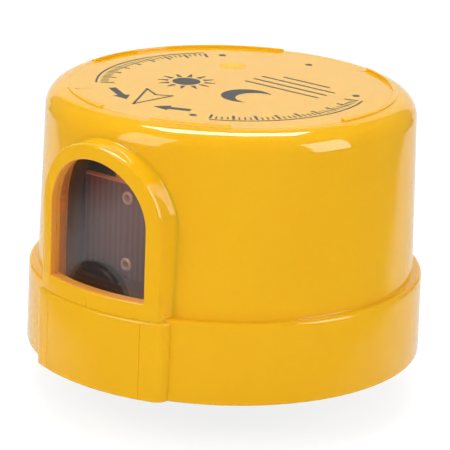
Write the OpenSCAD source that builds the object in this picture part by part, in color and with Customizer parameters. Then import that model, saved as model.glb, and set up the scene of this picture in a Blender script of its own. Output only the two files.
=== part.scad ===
// Twist-lock photocell switch for outdoor lighting: a yellow moulded cover with a side window,
// a base with three locking blades and a gasket, and the light cell with its thermal contact inside.
// Millimetres, +Z up along the twist axis. The gasket's lower face lies in z = 0 and the window faces -Y.

/* [Cover] */
// Outer diameter of the skirt at its lower edge
skirt_d = 82.6; // [78:0.1:88]
// Height of the skirt
skirt_h = 17; // [14:0.1:20]
// Draft of the skirt, lost from the radius over its height
skirt_draft = 0.25; // [0:0.05:0.6]
// Rounding of the skirt's upper edge
skirt_edge_r = 0.8; // [0.3:0.1:1.2]
// How far the body's foot lies inside the skirt's lower edge
skirt_step = 2.1; // [1.8:0.1:3]
// Draft of the body, lost from the radius up to the shoulder
body_draft = 0.95; // [0.3:0.05:1.5]
// Height of the cover from the skirt's lower edge to the rim of the top
cover_h = 54.6; // [52:0.1:60]
// Radius of the shoulder
shoulder_r = 4.8; // [3.5:0.1:6]
// Wall thickness of the cover
wall = 2.2; // [1.6:0.1:2.6]
// How far the gasket's face lies above the skirt's lower edge
seat_recess = 1; // [0.5:0.1:3]

/* [Top] */
// Height of the grip ridges above the rim
ridge_h = 0.7; // [0.4:0.1:1.2]
// Radial width of the grip ridges
ridge_w = 1; // [0.8:0.05:1.6]
// How far the ridges reach onto the shoulder
ridge_over = 0.6; // [0.4:0.05:1]
// Angle from the window to the near end of the short ridges
short_from = 11; // [8:1:16]
// Angle covered by each short ridge
short_sweep = 28; // [20:1:34]
// Angle from the window to the near end of the long ridges
long_from = 80; // [72:1:90]
// Angle covered by each long ridge
long_sweep = 80; // [70:1:88]
// Radial width of the sloping scoop inside each ridge
scoop_w = 4; // [3:0.1:5]
// Depth of the scoops at the foot of the ridges
scoop_depth = 0.15; // [0.05:0.05:0.4]
// Depth of the label field below the rim
label_recess = 0.25; // [0.1:0.05:0.5]
// Diameter of the moulding gate's dimple
gate_d = 5.6; // [4:0.1:8]
// Distance of the dimple from the axis
gate_r = 16.5; // [8:0.1:20]
// Angle of the dimple from the window
gate_turn = 218.6; // [0:0.1:360]
// Depth of the dimple
gate_depth = 0.5; // [0.2:0.1:0.8]

/* [Window] */
// Width of the window opening
window_w = 24.8; // [20:0.1:27]
// Height of the window opening
window_h = 26.8; // [22:0.1:28]
// Height of the sill above the skirt's lower edge
sill_h = 20; // [19.6:0.1:22]
// Width of the frame round the opening
frame_w = 3.3; // [2.8:0.1:4.2]
// How far the frame stands out from the body's foot
frame_proud = 3.3; // [2.8:0.1:3.8]
// Rounding of the frame's outer edge
frame_edge_r = 0.7; // [0.4:0.1:1.4]
// Thickness of the frame in front of the pane
frame_t = 2.6; // [2.2:0.1:2.8]
// Thickness of the pane
pane_t = 1.6; // [1.2:0.1:2]
// How far the pane laps behind the frame
pane_lap = 1.8; // [1.4:0.1:2]
// How far the skirt's panel under the window stands out from the skirt
panel_proud = 1.8; // [1.4:0.1:2.4]
// Corner radius of the panel
panel_corner_r = 2.6; // [1.5:0.1:3.2]

/* [Base] */
// Thickness of the base plate
base_t = 2.5; // [2:0.1:4]
// Thickness of the gasket
gasket_t = 2.2; // [1.5:0.1:3]
// Outer diameter of the gasket
gasket_d = 70; // [64:0.5:73]
// Inner diameter of the gasket
gasket_bore = 57; // [52:0.5:60]
// Number of ribs that the base plate seats against
rib_count = 8; // [4:1:12]
// Thickness of the ribs
rib_t = 1.6; // [1.2:0.1:2.4]
// Number of snap lugs that hold the base plate
lug_count = 4; // [3:1:6]
// Angle covered by each lug
lug_sweep = 20; // [12:1:30]
// How far the lugs reach under the plate
lug_reach = 0.8; // [0.5:0.05:1.2]
// Height of the lugs
lug_h = 1.8; // [1.2:0.1:2.2]

/* [Blades] */
// Diameter of the circle on which the blades stand
blade_circle_d = 33.4; // [30:0.1:36]
// Thickness of the blades
blade_t = 1.5; // [1.2:0.1:2]
// Width of the line and load blades
blade_w = 8; // [7:0.1:9]
// Width of the neutral blade
neutral_w = 11.3; // [9.5:0.1:13]
// Reach of the blades below the gasket's face
blade_reach = 10.8; // [9:0.1:16]
// Height of the locking foot
foot_h = 5; // [4:0.1:6]
// Depth of the locking notch
notch = 2.4; // [1.8:0.1:3]
// Angle of the neutral blade from the window
blade_turn = -30; // [-40:1:-20]
// Thickness of the blades' tabs
tab_t = 1.2; // [0.8:0.1:1.6]
// Width of the blades' tabs
tab_w = 7; // [6:0.1:8]
// Shank diameter of the rivets
rivet_d = 3.2; // [2.6:0.1:3.8]
// Head diameter of the rivets
rivet_head_d = 5.6; // [4.8:0.1:6.4]

/* [Light cell] */
// Sideways place of the cell
cell_x = -2.7; // [-4:0.1:0]
// Distance of the cell's front behind the pane
cell_gap = 9.7; // [9.5:0.1:11.3]
// Free width of the cell between its posts
cell_w = 22.6; // [20:0.1:23]
// Height of the cell plate
cell_h = 20; // [17:0.1:22]
// Height of the cell's lower edge above the base plate
cell_lift = 13; // [11:0.1:15]
// Thickness of the cell plate
cell_t = 1.8; // [1.2:0.1:2.2]
// Width of the holder's posts
post_w = 4.1; // [3.4:0.1:4.4]
// How far the holder's posts stand above the cell
post_over = 4; // [2:0.1:5]
// Distance between the cell's eyelets
eyelet_pitch = 14; // [11:0.1:15]
// Diameter of the eyelets' flanges
eyelet_d = 2.8; // [2.2:0.1:3.4]
// Diameter of the surge disc
disc_d = 15.6; // [13:0.1:16]
// Thickness of the surge disc
disc_t = 3.2; // [2.6:0.1:3.4]
// Sideways place of the surge disc
disc_x = -7.2; // [-8:0.1:-5]
// Diameter of the inner wires
wire_d = 0.9; // [0.6:0.1:1.2]

/* [Thermal contact] */
// Height of the bimetal strip above the base plate
strip_lift = 14; // [12:0.1:18]
// Thickness of the bimetal strip
strip_t = 0.6; // [0.4:0.1:1]
// Width of the bimetal strip
strip_w = 6; // [5:0.1:6.5]
// Diameter of the heater
heater_d = 5; // [4:0.1:6]
// Length of the heater
heater_l = 13; // [10:0.1:14]
// Diameter of the contacts
contact_d = 4.4; // [3.5:0.1:5]
// Height of each contact's head
contact_h = 1.2; // [0.8:0.1:1.6]

/* [Hidden] */
// Clearances between pieces that slide together
fit = 0.1;
loose = 0.3;
// Margin by which a cutter passes the face that it opens
past = 1;
$fn = 96;

// Levels along the axis
rim_z = -seat_recess;
skirt_top = rim_z + skirt_h;
cover_top = rim_z + cover_h;
field_z = cover_top - label_recess;
base_z = gasket_t;
floor_z = base_z + base_t;
tip_z = -blade_reach;

// Radii of the cover
skirt_r = skirt_d / 2;
skirt_top_r = skirt_r - skirt_draft;
skirt_bore_r = skirt_r - wall;
body_r = skirt_r - skirt_step;
neck_r = body_r - body_draft;
crown_r = neck_r - shoulder_r;
shoulder_z = field_z - shoulder_r;
base_r = skirt_bore_r - loose;
rib_r = body_r - wall + fit;

ridge_r = crown_r + ridge_over;
gap_r = crown_r + ridge_over / 3;
label_r = ridge_r - ridge_w;
short_to = short_from + short_sweep;
long_to = long_from + long_sweep;
gap_step = 0.15;
gap_tuck = 1.5;
scoop_tuck = 1;
inner_shoulder_r = shoulder_r - wall;

// Window levels and half widths
sill_z = rim_z + sill_h;
opening_half = window_w / 2;
frame_half = opening_half + frame_w;
spring_z = sill_z + window_h - opening_half;
frame_r = body_r + frame_proud;
pane_r = frame_r - frame_t;
pane_half = opening_half + pane_lap;
pocket_half = pane_half + fit;
pane_foot = sill_z - pane_lap;
pocket_foot = pane_foot - fit;

// Panel under the window, a little wider than the frame and a little lower than the skirt
panel_side = 1.2;
panel_drop = 0.5;
panel_r = skirt_r + panel_proud;
panel_half = frame_half + panel_side;
panel_top = skirt_top - panel_drop;
panel_corner_x = panel_half - panel_corner_r;
panel_corner_turn = asin(panel_corner_x / (panel_r - panel_corner_r));

// Blades and their stack of tab, foot and rivet
blade_r = blade_circle_d / 2;
tab_l = 8.2;
tab_from = blade_r - tab_l;
rivet_at = tab_from + tab_w / 2;
tab_top = floor_z + tab_t;
sheet_t = 0.9;
stack_top = tab_top + sheet_t;
rivet_head_h = 0.9;
rivet_flare_h = 0.6;
rivet_flare_d = (rivet_d + rivet_head_d) / 2;
load_turn = blade_turn + 120;
line_turn = blade_turn + 240;

// Light cell and its holder
cell_front = cell_gap - pane_r + pane_t;
cell_back = cell_front + cell_t;
cell_z = floor_z + cell_lift;
cell_top = cell_z + cell_h;
slot_depth = 0.9;
lip = 1.1;
post_front = cell_front - lip;
post_back = cell_back + lip;
post_top = cell_top + post_over;
post_x = cell_w / 2;
hook_l = 5.5;
hook_drop = 2.6;
foot_t = 2.4;
gusset_w = 1.8;
gusset_h = 12;
peg_d = 2.6;
eyelet_low = cell_z + (cell_h - eyelet_pitch) / 2;
eyelet_bore = 1.2;
eyelet_barrel = 2;
eyelet_rim = 0.3;
lead_back = 4;
lead_apart = 2.7;
lead_y = cell_back + lead_back;
disc_gap = 0.2;
disc_front = post_front - disc_gap - disc_t;
disc_lift = 0.4;
disc_z = floor_z + disc_lift + disc_d / 2;
disc_lead_x = 3.8;
disc_lead_in = 3;

// Thermal contact between the load and line rivets
strip_z = floor_z + strip_lift;
load_xy = [rivet_at * sin(load_turn), -rivet_at * cos(load_turn)];
line_xy = [rivet_at * sin(line_turn), -rivet_at * cos(line_turn)];
strip_span = norm(line_xy - load_xy);
strip_turn = atan2(line_xy[1] - load_xy[1], line_xy[0] - load_xy[0]);
riser_gap = 0.4;
riser_y = max(rivet_head_d, strip_w) / 2 + riser_gap;
web_y = rivet_d / 2 + fit + riser_gap;
strip_margin = 0.8;
strip_end = contact_d / 2 + strip_margin;
shelf_z = strip_z - 2 * contact_h - sheet_t;
pin_d = 2;
pin_head_d = 3.4;
pin_head_h = 0.6;
heater_x = strip_span / 2;
heater_z = strip_z + strip_t + heater_d / 2;

// Turn something drawn towards -Y to an angle from the window
module at_turn(turn) {
    rotate([0, 0, turn]) children();
}

// A ring sector with its middle towards -Y, from a profile in radius and height
module sector(sweep) {
    rotate([0, 0, -90 - sweep / 2]) rotate_extrude(angle = sweep) children();
}

// An arched outline with a flat foot, in the plane of the window
module arch(half, foot) {
    translate([0, spring_z]) circle(r = half);
    translate([-half, foot]) square([2 * half, spring_z - foot]);
}

// The arch as a prism that reaches from the axis out through the front
module arch_prism(half, foot) {
    rotate([90, 0, 0]) linear_extrude(height = panel_r + past) arch(half, foot);
}

// Outer profile of the cover as a half section
module cover_outline() {
    polygon([[0, rim_z], [skirt_r, rim_z], [skirt_top_r, skirt_top - skirt_edge_r],
        [skirt_top_r - skirt_edge_r, skirt_top], [0, skirt_top]]);
    translate([skirt_top_r - skirt_edge_r, skirt_top - skirt_edge_r]) circle(r = skirt_edge_r);
    polygon([[0, skirt_top - past], [body_r, skirt_top - past], [body_r, skirt_top],
        [neck_r, shoulder_z], [crown_r, field_z], [0, field_z]]);
    translate([crown_r, shoulder_z]) circle(r = shoulder_r);
}

// Hollow of the cover as a half section
module cover_hollow() {
    inner_r = inner_shoulder_r;
    step_z = skirt_top - wall;
    top_z = field_z - wall;
    polygon([[0, rim_z - past], [skirt_bore_r, rim_z - past], [skirt_bore_r, step_z],
        [body_r - wall, step_z], [neck_r - wall, top_z - inner_r],
        [neck_r - wall - inner_r, top_z], [0, top_z]]);
    translate([neck_r - wall - inner_r, top_z - inner_r]) circle(r = inner_r);
}

// Frame of the window: its face is concentric with the body and its outer edge is rounded
module window_boss() {
    hull() for (bend = [0, 30, 60, 90])
        intersection() {
            arch_prism(frame_half - frame_edge_r * (1 - cos(bend)), rim_z + past);
            translate([0, 0, rim_z]) cylinder(r = frame_r - frame_edge_r * (1 - sin(bend)), h = cover_h);
            translate([-panel_r, -panel_r - past, rim_z]) cube([2 * panel_r, panel_r / 2, cover_h]);
        }
}

// Panel of the skirt under the window, with rounded upright edges
module skirt_panel() {
    corner_y = -(panel_r - panel_corner_r) * cos(panel_corner_turn);
    reach = 2 * panel_r;
    translate([0, 0, rim_z]) linear_extrude(height = panel_top - rim_z) {
        intersection() {
            circle(r = panel_r);
            polygon([[0, 0], [-reach * sin(panel_corner_turn), -reach * cos(panel_corner_turn)],
                [reach * sin(panel_corner_turn), -reach * cos(panel_corner_turn)]]);
        }
        for (side = [-1, 1]) translate([side * panel_corner_x, corner_y]) circle(r = panel_corner_r);
        translate([-panel_half, corner_y]) square([2 * panel_half, -corner_y / 2]);
    }
}

// A stretch of the rim round the label field, between two angles from the window
module rim_run(from, to, in_r, out_r, top) {
    at_turn((from + to) / 2) sector(to - from)
        translate([in_r, field_z - past]) square([out_r - in_r, top - field_z + past]);
}

// A high stretch of the rim: a grip ridge
module ridge_run(from, to) {
    rim_run(from, to, label_r, ridge_r, cover_top + ridge_h);
}

// A low stretch of the rim between two ridges, with its ends tucked into them
module gap_run(from, to) {
    rim_run(from - gap_tuck, to + gap_tuck, label_r + gap_step, gap_r, cover_top);
}

// Cutter of a scoop: it falls from the label field to the foot of a ridge
module scoop_run(from, to) {
    foot_r = label_r + ridge_w / 2;
    foot_z = field_z - scoop_depth * (foot_r - label_r + scoop_w) / scoop_w;
    at_turn((from + to) / 2) sector(to - from - 2 * scoop_tuck)
        polygon([[label_r - scoop_w, field_z], [foot_r, foot_z], [foot_r, field_z + past],
            [label_r - scoop_w, field_z + past]]);
}

// Cutters of the scoops inside the four ridges
module scoops() {
    for (side = [0, 1]) mirror([side, 0, 0]) {
        scoop_run(short_from, short_to);
        scoop_run(long_from, long_to);
    }
}

// Rim of the top, mirrored about the window: low in the gaps and high at the grip ridges
module rim() {
    gap_run(-short_from, short_from);
    gap_run(long_to, 360 - long_to);
    for (side = [0, 1]) mirror([side, 0, 0]) {
        ridge_run(short_from, short_to);
        gap_run(short_to, long_from);
        ridge_run(long_from, long_to);
    }
}

// Ribs inside the skirt that stop the base plate
module ribs() {
    for (k = [0 : rib_count - 1]) at_turn(k * 360 / rib_count)
        intersection() {
            translate([-rib_t / 2, -skirt_r + wall / 2, floor_z])
                cube([rib_t, skirt_r - wall / 2 - rib_r, skirt_top - wall / 2 - floor_z]);
            translate([0, 0, floor_z]) cylinder(r = skirt_bore_r + wall / 2, h = skirt_h);
        }
}

// Snap lugs under the base plate, each with a sloped lead-in
module lugs() {
    for (k = [0 : lug_count - 1]) at_turn((k + 0.5) * 360 / lug_count) sector(lug_sweep)
        polygon([[base_r - lug_reach, base_z], [skirt_bore_r + wall / 2, base_z],
            [skirt_bore_r + wall / 2, base_z - lug_h], [skirt_bore_r, base_z - lug_h]]);
}

module housing() {
    color("goldenrod") {
        difference() {
            union() {
                difference() {
                    rotate_extrude() cover_outline();
                    scoops();
                }
                window_boss();
                skirt_panel();
                rim();
            }
            rotate_extrude() cover_hollow();
            arch_prism(opening_half, sill_z);
            intersection() {
                arch_prism(pocket_half, pocket_foot);
                translate([0, 0, rim_z]) cylinder(r = pane_r, h = cover_h);
            }
            at_turn(gate_turn) translate([0, -gate_r, field_z - gate_depth])
                cylinder(d = gate_d, h = gate_depth + past);
        }
        ribs();
        lugs();
    }
}

module window_pane() {
    color("dimgray") intersection() {
        arch_prism(pane_half, pane_foot);
        difference() {
            translate([0, 0, rim_z]) cylinder(r = pane_r, h = cover_h);
            translate([0, 0, rim_z - past]) cylinder(r = pane_r - pane_t, h = cover_h + 2 * past);
        }
    }
}

// Place something on the base at each blade, drawn towards -Y
module at_blades() {
    for (turn = [blade_turn, load_turn, line_turn]) at_turn(turn) children();
}

// Side view of a blade between two levels, with the locking notch above its foot
module blade_side(width, grow, from_z, to_z) {
    shank_from = notch - width / 2;
    translate([shank_from - grow, from_z]) square([width - notch + 2 * grow, to_z - from_z]);
}

// A flat side view bent round the blades' circle, grown by a clearance
module bent(grow) {
    out_r = blade_r + blade_t / 2 + grow;
    intersection() {
        rotate([90, 0, 0]) linear_extrude(height = out_r + past) children();
        difference() {
            translate([0, 0, tip_z - past]) cylinder(r = out_r, h = tab_top - tip_z + 2 * past);
            translate([0, 0, tip_z - 2 * past])
                cylinder(r = out_r - blade_t - 2 * grow, h = tab_top - tip_z + 4 * past);
        }
    }
}

module base_plate() {
    color("black") difference() {
        translate([0, 0, base_z]) cylinder(r = base_r, h = base_t);
        for (blade = [[blade_turn, neutral_w], [load_turn, blade_w], [line_turn, blade_w]])
            at_turn(blade[0]) bent(fit) blade_side(blade[1], fit, base_z - past, floor_z + past);
        at_blades() translate([0, -rivet_at, base_z - past])
            cylinder(d = rivet_d + 2 * fit, h = base_t + 2 * past);
        for (side = [-1, 1]) holder_peg(side, fit, past);
    }
}

module gasket() {
    color("dimgray") difference() {
        cylinder(d = gasket_d, h = gasket_t);
        translate([0, 0, -past]) cylinder(d = gasket_bore, h = gasket_t + 2 * past);
    }
}

// A blade drawn towards -Y: curved shank with a locking foot, and a tab on the base plate
module blade(width) {
    color("gold") {
        bent(0) {
            blade_side(width, 0, tip_z, tab_top);
            translate([-width / 2, tip_z]) square([width, foot_h]);
        }
        difference() {
            translate([-tab_w / 2, -blade_r, floor_z]) cube([tab_w, blade_r - tab_from, tab_t]);
            translate([0, -rivet_at, floor_z - past]) cylinder(d = rivet_d + 2 * fit, h = tab_t + 2 * past);
        }
    }
}

module blade_neutral() {
    at_turn(blade_turn) blade(neutral_w);
}

module blade_line() {
    at_turn(line_turn) blade(blade_w);
}

module blade_load() {
    at_turn(load_turn) blade(blade_w);
}

// One set rivet through the base plate, the tab and the sheet above it
module blade_rivets() {
    color("silver") at_blades() translate([0, -rivet_at, 0]) {
        translate([0, 0, base_z - rivet_flare_h]) cylinder(d = rivet_flare_d, h = rivet_flare_h);
        translate([0, 0, base_z - rivet_flare_h]) cylinder(d = rivet_d, h = stack_top - base_z + rivet_flare_h);
        translate([0, 0, stack_top]) cylinder(d = rivet_head_d, h = rivet_head_h);
    }
}

// Hole for a rivet through a sheet that lies on the tab, drawn towards -Y
module rivet_hole() {
    translate([0, -rivet_at, tab_top - past]) cylinder(d = rivet_d + 2 * fit, h = sheet_t + 2 * past);
}

module neutral_tag() {
    color("gold") at_turn(blade_turn) difference() {
        union() {
            translate([0, -rivet_at, tab_top]) cylinder(d = tab_w, h = sheet_t);
            translate([-tab_w / 4, -rivet_at, tab_top]) cube([tab_w / 2, tab_w, sheet_t]);
        }
        rivet_hole();
    }
}

// Staking peg of the holder in the base plate, grown by a clearance for its hole
module holder_peg(side, grow, over) {
    translate([cell_x + side * (post_x + post_w / 2), (post_front + post_back) / 2, base_z - over])
        cylinder(d = peg_d + 2 * grow, h = base_t + 2 * over);
}

// One post of the holder at +X: slot for the cell, hook behind it and gusset at the foot
module holder_post() {
    depth = post_back - post_front;
    difference() {
        union() {
            translate([post_x, post_front, floor_z]) cube([post_w, depth, post_top - floor_z]);
            translate([post_x - hook_l, cell_back + fit, cell_top - hook_drop])
                cube([hook_l + fit, lip - fit, post_top - cell_top + hook_drop]);
            translate([post_x + post_w, post_back - lip, floor_z]) rotate([90, 0, 0])
                linear_extrude(height = lip) polygon([[0, 0], [gusset_w, 0], [0, gusset_h]]);
        }
        translate([post_x - past, cell_front - fit, cell_z])
            cube([slot_depth + fit + past, cell_t + 2 * fit, post_top]);
    }
}

module cell_holder() {
    color("black") {
        translate([cell_x, 0, 0]) for (side = [0, 1]) mirror([side, 0, 0]) holder_post();
        translate([cell_x - post_x - post_w, post_front, floor_z])
            cube([2 * (post_x + post_w), post_back - post_front, foot_t]);
        for (side = [-1, 1]) holder_peg(side, 0, 0);
    }
}

// Something at each of the cell's eyelets, drawn along -Y from the cell's back
module at_eyelets() {
    for (level = [eyelet_low, eyelet_low + eyelet_pitch])
        translate([cell_x, cell_back, level]) rotate([90, 0, 0]) children();
}

module photocell() {
    color("tan") difference() {
        translate([cell_x - post_x - slot_depth, cell_front, cell_z])
            cube([cell_w + 2 * slot_depth, cell_t, cell_h]);
        at_eyelets() translate([0, 0, -past]) cylinder(d = eyelet_barrel, h = cell_t + 2 * past);
    }
}

module cell_eyelets() {
    color("silver") at_eyelets() difference() {
        union() {
            translate([0, 0, -eyelet_rim]) cylinder(d = eyelet_barrel, h = cell_t + 2 * eyelet_rim);
            translate([0, 0, -eyelet_rim]) cylinder(d = eyelet_d, h = eyelet_rim);
            translate([0, 0, cell_t]) cylinder(d = eyelet_d, h = eyelet_rim);
        }
        cylinder(d = eyelet_bore, h = cell_t + past);
    }
}

// A wire from an eyelet's back to a bend and down to the base plate
module cell_lead(level, back) {
    start = cell_back + eyelet_rim;
    translate([cell_x, start, level]) rotate([-90, 0, 0]) cylinder(d = wire_d, h = back - start, $fn = 24);
    translate([cell_x, back, level]) sphere(d = wire_d, $fn = 24);
    translate([cell_x, back, floor_z]) cylinder(d = wire_d, h = level - floor_z, $fn = 24);
}

module cell_lead_upper() {
    color("orangered") cell_lead(eyelet_low + eyelet_pitch, lead_y + lead_apart);
}

module cell_lead_lower() {
    color("orangered") cell_lead(eyelet_low, lead_y);
}

// A lead of the surge disc, from the base plate into the disc
module disc_wire(side) {
    translate([disc_x + side * disc_lead_x, disc_front + disc_t / 2, floor_z])
        cylinder(d = wire_d, h = disc_z - disc_lead_in - floor_z, $fn = 24);
}

module varistor() {
    color("black") difference() {
        translate([disc_x, disc_front + disc_t, disc_z]) rotate([90, 0, 0]) cylinder(d = disc_d, h = disc_t);
        for (side = [-1, 1]) disc_wire(side);
    }
}

module varistor_leads() {
    color("silver") for (side = [-1, 1]) disc_wire(side);
}

// Place something along the strip, with +X from the load rivet to the line rivet
module along_strip() {
    translate([load_xy[0], load_xy[1], 0]) rotate([0, 0, strip_turn]) children();
}

// Foot of a bracket on a blade's tab, drawn towards -Y
module bracket_foot() {
    difference() {
        translate([0, -rivet_at, tab_top]) cylinder(d = tab_w, h = sheet_t);
        rivet_hole();
    }
}

// Riser of a bracket beside its rivet and the shelf on top, drawn along the strip
module bracket_riser(shelf_level) {
    translate([-strip_w / 2, 0, 0]) rotate([90, 0, 90]) linear_extrude(height = strip_w)
        polygon([[web_y, tab_top], [riser_y + sheet_t, tab_top], [riser_y + sheet_t, shelf_level + sheet_t],
            [-strip_w / 2, shelf_level + sheet_t], [-strip_w / 2, shelf_level], [riser_y, shelf_level],
            [riser_y, tab_top + sheet_t], [web_y, tab_top + sheet_t]]);
}

module load_post() {
    color("gold") difference() {
        union() {
            at_turn(load_turn) bracket_foot();
            along_strip() bracket_riser(strip_z - sheet_t);
        }
        along_strip() translate([0, 0, strip_z - sheet_t - past]) cylinder(d = pin_d, h = sheet_t + 2 * past);
    }
}

module bimetal_strip() {
    color("peru") along_strip() difference() {
        translate([-tab_w / 2, -strip_w / 2, strip_z])
            cube([strip_span + tab_w / 2 + strip_end, strip_w, strip_t]);
        translate([0, 0, strip_z - past]) cylinder(d = pin_d, h = strip_t + 2 * past);
        translate([strip_span, 0, strip_z - past]) cylinder(d = pin_d, h = strip_t + 2 * past);
    }
}

module strip_rivet() {
    color("silver") along_strip() {
        translate([0, 0, strip_z - sheet_t - pin_head_h]) cylinder(d = pin_head_d, h = pin_head_h);
        translate([0, 0, strip_z - sheet_t]) cylinder(d = pin_d, h = sheet_t + strip_t);
        translate([0, 0, strip_z + strip_t]) cylinder(d = pin_head_d, h = pin_head_h);
    }
}

module heater() {
    color("beige") along_strip() translate([heater_x - heater_l / 2, 0, heater_z])
        rotate([0, 90, 0]) cylinder(d = heater_d, h = heater_l);
}

module heater_leads() {
    drop_y = strip_w / 2 + wire_d;
    color("silver") along_strip() for (side = [-1, 1]) {
        end_x = heater_x + side * heater_l / 2;
        bend_x = end_x + side * wire_d;
        translate([min(end_x, bend_x), 0, heater_z]) rotate([0, 90, 0])
            cylinder(d = wire_d, h = wire_d, $fn = 24);
        translate([bend_x, 0, heater_z]) sphere(d = wire_d, $fn = 24);
        translate([bend_x, -drop_y, heater_z]) rotate([-90, 0, 0]) cylinder(d = wire_d, h = drop_y, $fn = 24);
        translate([bend_x, -drop_y, heater_z]) sphere(d = wire_d, $fn = 24);
        translate([bend_x, -drop_y, floor_z]) cylinder(d = wire_d, h = heater_z - floor_z, $fn = 24);
    }
}

module moving_contact() {
    color("silver") along_strip() translate([strip_span, 0, 0]) {
        translate([0, 0, strip_z - contact_h]) cylinder(d = contact_d, h = contact_h);
        translate([0, 0, strip_z]) cylinder(d = pin_d, h = strip_t);
        translate([0, 0, strip_z + strip_t]) cylinder(d = pin_head_d, h = pin_head_h);
    }
}

module line_bracket() {
    color("gold") difference() {
        union() {
            at_turn(line_turn) bracket_foot();
            along_strip() translate([strip_span, 0, 0]) bracket_riser(shelf_z);
        }
        along_strip() translate([strip_span, 0, shelf_z - past]) cylinder(d = pin_d, h = sheet_t + 2 * past);
    }
}

module fixed_contact() {
    color("silver") along_strip() translate([strip_span, 0, 0]) {
        translate([0, 0, shelf_z - pin_head_h]) cylinder(d = pin_head_d, h = pin_head_h);
        translate([0, 0, shelf_z]) cylinder(d = pin_d, h = sheet_t);
        translate([0, 0, shelf_z + sheet_t]) cylinder(d = contact_d, h = contact_h);
    }
}

housing();
window_pane();
base_plate();
gasket();
blade_neutral();
blade_line();
blade_load();
blade_rivets();
neutral_tag();
cell_holder();
photocell();
cell_eyelets();
cell_lead_upper();
cell_lead_lower();
varistor();
varistor_leads();
load_post();
bimetal_strip();
strip_rivet();
heater();
heater_leads();
moving_contact();
line_bracket();
fixed_contact();
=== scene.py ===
"""Looks of the twist-lock photocell switch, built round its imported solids.

Metres in Blender; sections and places are written in millimetres and scaled by MM. +Z runs up the twist axis,
the window faces -Y, and a turn is an angle in degrees from the window towards +X.
"""

from contextlib import contextmanager
import math

import bmesh
import bpy
from mathutils import Matrix, Vector


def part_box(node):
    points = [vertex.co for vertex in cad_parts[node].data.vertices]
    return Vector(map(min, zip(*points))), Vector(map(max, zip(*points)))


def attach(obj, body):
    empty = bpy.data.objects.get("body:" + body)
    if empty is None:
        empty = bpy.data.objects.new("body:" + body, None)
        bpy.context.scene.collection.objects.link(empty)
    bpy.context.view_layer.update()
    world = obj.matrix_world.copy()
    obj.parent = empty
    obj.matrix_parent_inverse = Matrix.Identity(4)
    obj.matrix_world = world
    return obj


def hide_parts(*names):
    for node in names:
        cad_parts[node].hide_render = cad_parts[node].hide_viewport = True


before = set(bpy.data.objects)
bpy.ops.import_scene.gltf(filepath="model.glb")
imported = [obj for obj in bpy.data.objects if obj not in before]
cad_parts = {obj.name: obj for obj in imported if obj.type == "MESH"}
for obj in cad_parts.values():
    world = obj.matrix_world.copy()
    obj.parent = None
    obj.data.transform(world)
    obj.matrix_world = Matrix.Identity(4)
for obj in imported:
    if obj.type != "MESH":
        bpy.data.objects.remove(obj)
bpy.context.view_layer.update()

MM = 0.001
# Face attribute that marks where orange colour and glow are painted in
BODY = "root"
PAINTED_GLOW = "painted_glow"

# Distances in metres at which points count as one, for plain meshes and after Booleans
SAME_SPOT = 1e-7
WELD = 2e-6

# Cover, from the skirt's lower edge to the grip ridges
RIM_Z = -1.0
SKIRT_R = 41.3
SKIRT_TOP_R = 41.05
SKIRT_TOP = 16.0
SKIRT_EDGE_R = 0.8
BORE_R = 39.1
WALL = 2.2
BODY_R = 39.2
NECK_R = 38.25
SHOULDER_R = 4.8
FIELD_Z = 53.55
RIM_TOP = 53.6
RIDGE_TOP = 54.08
RIDGE_FALL = 0.24
RIDGE_IN_R = 33.05
RIDGE_OUT_R = 34.05
GAP_IN_R = 33.2
GAP_OUT_R = 33.65
SCOOP_W = 4.0
SCOOP_DEPTH = 0.1
SCOOP_TUCK = 1.0
CROWN_R = NECK_R - SHOULDER_R
SHOULDER_Z = FIELD_Z - SHOULDER_R
CEILING_Z = FIELD_Z - WALL
RIDGES = ((11, 28), (80, 80), (-39, 28), (-160, 80))
GATE_R = 16.5
GATE_TURN = 218.6
GATE_D = 5.6
GATE_DEPTH = 0.5

# Window: opening, frame and the skirt's panel below it
OPENING_HALF = 12.4
SILL_Z = 19.0
SPRING_Z = 33.4
FRAME_HALF = 15.7
FRAME_R = 42.5
FRAME_EDGE_R = 0.32
FRAME_BROAD_R = 1.3
FRAME_BREAK = 30
FRAME_FILLET_R = 0.5
FRAME_LEAN = 0.1
LIP_R = 0.4
SEAT_R = 41.0
SEAT_DEEP = 0.3
PANE_R = 39.9
PANE_T = 1.6
PANE_HALF = 14.2
PANE_FOOT = 17.2
# Where the pane's painted reflection veil sets in, and the round spot kept clear of it
PAINTED_VEIL_MIDDLE_Z = 36
CLEAR_SPOT = (-1.1, 16.4)
CLEAR_SPOT_R = 7.8
POCKET_HALF = 14.3
POCKET_FOOT = 17.1
FRAME_BACK_R = 37.2
FRAME_ROOT_Z = 12.0
PANEL_R = 43.1
PANEL_HALF = 16.9
PANEL_TOP = 15.5
PANEL_CORNER_R = 2.6
PANEL_EDGE_R = 0.6
CREASE_U = 12.3
OUTSIDE_Y = -50

# Base
GASKET_T = 2.2
GASKET_R = 35.0
GASKET_BORE_R = 28.5
PLATE_R = 38.8
FLOOR_Z = 4.7
TIP_Z = -10.8
RIVET_AT = 12.0
FIRST_BLADE = -30
BLADES = 3
RIBS = 8
LUGS = 4

# The photograph's camera, measured from the middle of the skirt's lower edge
CAMERA_TURN = 38.8
CAMERA_RISE = 19.739
CAMERA_DISTANCE = 560.0
CAMERA_PAN = -0.04
CAMERA_TILT = 17.354
CAMERA_ROLL = 2.161
FOCAL_PIXELS = 2641.854
PICTURE_PIXELS = 450
SENSOR = 36.0

# Lamps: turn, rise, distance, width and height in metres, light, shine
LAMPS = {
    "left_softbox": (-17, 29, 0.7, 0.34, 0.54, 2.7, 3.4),
    "right_softbox": (102, 21, 0.7, 0.32, 0.48, 2.2, 6.0),
    "top_softbox": (-134, 76, 0.8, 0.6, 0.27, 5.6, 14.0),
    "front_softbox": (44, 30, 0.9, 0.5, 0.5, 1.5, 0.0),
}
LAMP_AIM_Z = 0.03
LAMP_GAP = 0.02
WORLD_FILL = 0.5

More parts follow.
